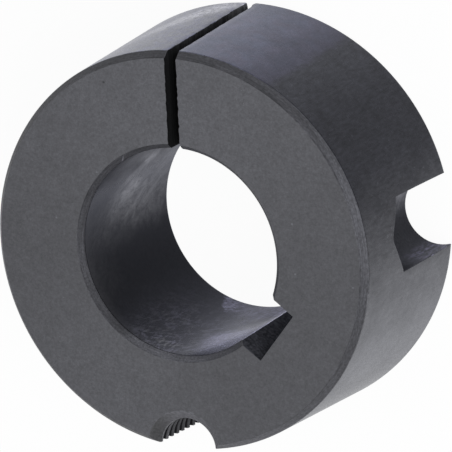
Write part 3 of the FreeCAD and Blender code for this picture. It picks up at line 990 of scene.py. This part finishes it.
def bore_iron():
    """Bored wall: smooth and darkest, with grey clouds of painted highlight on one side and a lilac film with
    painted highlight on the other.
    """
    iron = Finish("bore_iron", 1, 1.45, BORE_TINT)
    far, near = iron.warped(3, 5, 1.8), iron.warped(1, 2, 0.7)
    matt = iron.patch(*far, (-145, 14), (38, 30))
    dull = iron.product(iron.patch(*far, (22, 3), (34, 12)), 0.34)
    iron.roughen(iron.total(iron.ranged(matt, 0, 0.6, 0.2, 0.42), dull), 0.03, 0.005)
    drift = iron.product(0.5, iron.total(
        iron.streaks(BORE_RADIUS, 0, 0.5, 1.8, 5, 1.2),
        iron.streaks(BORE_RADIUS, 38, 0.7, 2.6, 4, 0.8),
    ))
    # Painted highlight in lighter wisps, part grey and part lilac.
    painted_wisps = iron.total(
        iron.product(iron.patch(*near, (-16, 17), (34, 20)), iron.ramp(drift, 0.47, 0.59), 0.03),
        iron.product(iron.patch(*far, (-14, 22.5), (24, 5.5)), iron.ramp(drift, 0.46, 0.6), 0.058),
    )
    lilac_share = iron.ramp(iron.noise(1.6, 2), 0.38, 0.62)
    grey = bore_grey(iron, bore_painted_highlights(iron, far, near), painted_wisps, lilac_share)
    blue = bore_blue(iron, far, near, painted_wisps, lilac_share, drift)
    film_and_highlight = iron.added(iron.scaled(COOL_GREY, grey), iron.scaled(LILAC, blue))
    return iron.colour(film_and_highlight, iron.mottle(4, 0.08))


def bore_painted_highlights(iron, far, near):
    """Painted highlights left of the slot: a beam with a straight edge, and soft patches, all drawn into
    wisps.
    """
    near_turn, near_height = near
    past_edge = iron.total(near_turn, iron.ranged(near_height, 5, 25, 147.7, 91.1))
    beam = iron.product(
        iron.ramp(past_edge, -0.5, 3.5), iron.ramp(past_edge, 26, 4),
        iron.ramp(near_height, 6.4, 10), iron.ramp(near_height, 19.5, 12),
    )
    cloud = iron.total(
        iron.product(beam, 0.06),
        iron.product(iron.patch(*near, (-111, 11.3), (7, 4)), 0.05),
        iron.product(iron.patch(*near, (-130, 10.5), (7, 6), -1.3), 0.1),
        iron.patches(*far, BORE_PAINTED_HIGHLIGHTS),
    )
    wisp = iron.ranged(iron.streaks(BORE_RADIUS, -27, 1.5, 3.2, 4, 1.6), 0.35, 0.66, 0.6, 1.45)
    return iron.product(cloud, wisp)


def bore_grey(iron, cloud, painted_wisps, lilac_share):
    """Strength of the bore's grey: speckle, a lighter mouth with painted light on its eased edge, painted
    highlight in wisps and clouds, broken by dark wrinkles.
    """
    mouth = iron.total(
        iron.product(iron.ramp(iron.height, 21.5, 24.2), 0.01),
        # Painted light along the mouth's eased edge.
        iron.product(iron.edge, iron.ramp(iron.turn, -50, -80), 0.14),
    )
    speckle = iron.ranged(iron.noise(0.6, 4, 0.75), 0.4, 0.62, 0, 0.0028)
    wrinkle = iron.ranged(iron.streaks(BORE_RADIUS, 8, 0.35, 1.1, 3), 0.54, 0.72, 1, 0.5)
    grey_wisps = iron.product(painted_wisps, iron.ranged(lilac_share, 0, 1, 1, 0.3))
    return iron.product(iron.total(speckle, mouth, grey_wisps, cloud), wrinkle)


def bore_blue(iron, far, near, painted_wisps, lilac_share, drift):
    """Strength of the lilac film beside the keyway, an oxide tint brightened by painted highlight, with its
    sharp-edged corner and its bright crown.
    """
    near_turn, near_height = near
    corner_line = iron.total(near_turn, iron.ranged(near_height, 0, 8, 24.8, 10.5))
    corner = iron.product(
        iron.ramp(corner_line, -0.5, 2), iron.ramp(corner_line, 24, 6), iron.ramp(near_height, 6.4, 3))
    crown_line = iron.total(near_turn, iron.ranged(near_height, 11, 25, 7.7, -2.4))
    crown_foot = iron.total(near_height, iron.ranged(near_turn, -5.3, 14.7, -14.3, -11))
    crown = iron.product(
        iron.ramp(crown_line, -3, 10), iron.ramp(crown_foot, -1.2, 2.5), iron.ramp(near_height, 26.5, 19))
    film_and_highlight = iron.total(iron.product(corner, 0.07), iron.patches(*far, BORE_FILM_AND_HIGHLIGHT))
    blotch = iron.product(
        iron.ranged(iron.noise(0.5, 4, 0.75), 0.36, 0.64, 0.35, 1.65),
        iron.ranged(drift, 0.4, 0.62, 0.5, 1.5),
    )
    mild = iron.ranged(blotch, 0.3, 1.7, 0.75, 1.25)
    smudge = iron.ranged(iron.streaks(BORE_RADIUS, 25, 1.1, 3.6, 4, 1.5), 0.38, 0.6, 0.45, 1.35)
    return iron.total(
        iron.product(crown, mild, 0.125),
        iron.product(film_and_highlight, blotch, smudge),
        iron.product(painted_wisps, lilac_share, 0.7),
    )


def saw_iron():
    """Sawn walls of the slot: rough and nearly black, lighter at the outer end and where the skin is torn."""
    iron = dull_finish("saw_iron")
    grain = iron.streaks(20, 90, 0.5, 2, 4)
    iron.roughen(0.75, 0.05, 0.02, grain)
    torn = iron.product(iron.ramp(iron.noise(0.45, 3, 0.6), 0.66, 0.78), 2)
    lift = iron.product(
        iron.ramp(iron.radius, 25.2, 27.2),
        iron.ranged(iron.height, 1, 7, 9.5, 1.8),
        iron.ramp(iron.height, 24, 19),
    )
    sawn = iron.product(iron.total(1, lift), iron.varied(grain, 0.5, 1.5))
    return iron.colour(SAW_BLACK, iron.total(sawn, torn, iron.worn_edge_highlight(0.5, 0.62, 5)))


def thread_iron():
    """Tapped wall: nearly black with painted shade on the flanks, rubbed crests lit with painted highlight,
    and the pale countersink above it.
    """
    iron = dull_finish("thread_iron")
    iron.roughen(0.5, 0.05, 0.012)
    from_axis = iron.distance(iron.total(iron.x, TAPPED_HOLE_OFFSET), iron.total(iron.y, HOLE_CIRCLE))
    spread = iron.total(from_axis, iron.ranged(iron.height, LENGTH - 10, LENGTH, 10, 0))
    cone = iron.product(
        iron.ramp(spread, COUNTERSINK_RADIUS - 0.16, COUNTERSINK_RADIUS - 0.06),
        iron.ramp(spread, COUNTERSINK_RADIUS + 0.1, COUNTERSINK_RADIUS + 0.03),
    )
    # Painted highlight on the crests, strongest on the first; the flanks keep painted shade.
    crest = iron.ramp(from_axis, THREAD_MINOR + 0.24, THREAD_MINOR + 0.04)
    crests = iron.blend(iron.ramp(iron.height, 21, 23), THREAD_CREST, FIRST_CREST)
    countersink = iron.blend(iron.ramp(iron.x, -4.8, -0.6), *COUNTERSINK_GREYS)
    base = iron.blend(cone, iron.blend(crest, THREAD_BLACK, crests), countersink)
    curdled = iron.product(iron.varied(iron.noise(0.36, 3, 0.65), 0.75, 1.25), iron.mottle(2, 0.12))
    return iron.colour(base, iron.total(curdled, iron.worn_edge_highlight(0.46, 0.6, 0.5)))


def keyway_iron():
    """Broached walls of the keyway: dull and blotched, with painted light that makes them lighter half way
    down than at both ends.
    """
    iron = dull_finish("keyway_iron")
    iron.roughen(0.6, 0.05, 0.015)
    blotch = iron.ranged(iron.noise(0.55, 4, 0.7), 0.36, 0.64, 0.5, 1.35)
    # Painted light: lighter with depth to offset the shade deep in the keyway, darker again near the large
    # end.
    lift = iron.product(iron.ranged(iron.height, 12, LENGTH, 2.3, 1), iron.ranged(iron.height, 2, 9, 0.45, 1))
    shade = iron.product(blotch, lift, iron.mottle(2.2, 0.18))
    return iron.colour(KEYWAY_GREY, iron.total(shade, iron.worn_edge_highlight(0.48, 0.62, 2)))


def drilled_iron():
    """Drilled walls of the plain half-holes: dull, with lilac streaks on the right one, and a glint."""
    iron = Finish("drilled_iron", 1, 1.45, DRILLED_TINT)
    iron.roughen(0.42, 0.05, 0.012)
    streak = iron.ranged(iron.upright_streaks(0.36, 1.6), 0.42, 0.68, 0, 1.9)
    lilac = iron.product(
        iron.ramp(iron.x, 24.5, 26), iron.ramp(iron.y, -1, -2),
        iron.ramp(iron.height, 10.5, 5.5), streak,
    )
    glint = iron.product(iron.patch(iron.y, iron.height, (5.2, 3.5), (4.6, 13)), iron.mottle(0.9, 0.5))
    base = iron.product(iron.total(0.015, iron.product(glint, 0.12)), iron.mottle(0.4, 0.4))
    shade = iron.added(iron.scaled(COOL_GREY, base), iron.scaled(DRILLED_LILAC, lilac))
    return iron.colour(shade, iron.total(iron.mottle(3, 0.12), iron.worn_edge_highlight(0.48, 0.62, 4)))


add_camera()
add_world()
add_lamp()
add_floor()
build_bushing()
bpy.context.scene.view_settings.view_transform = "Standard"
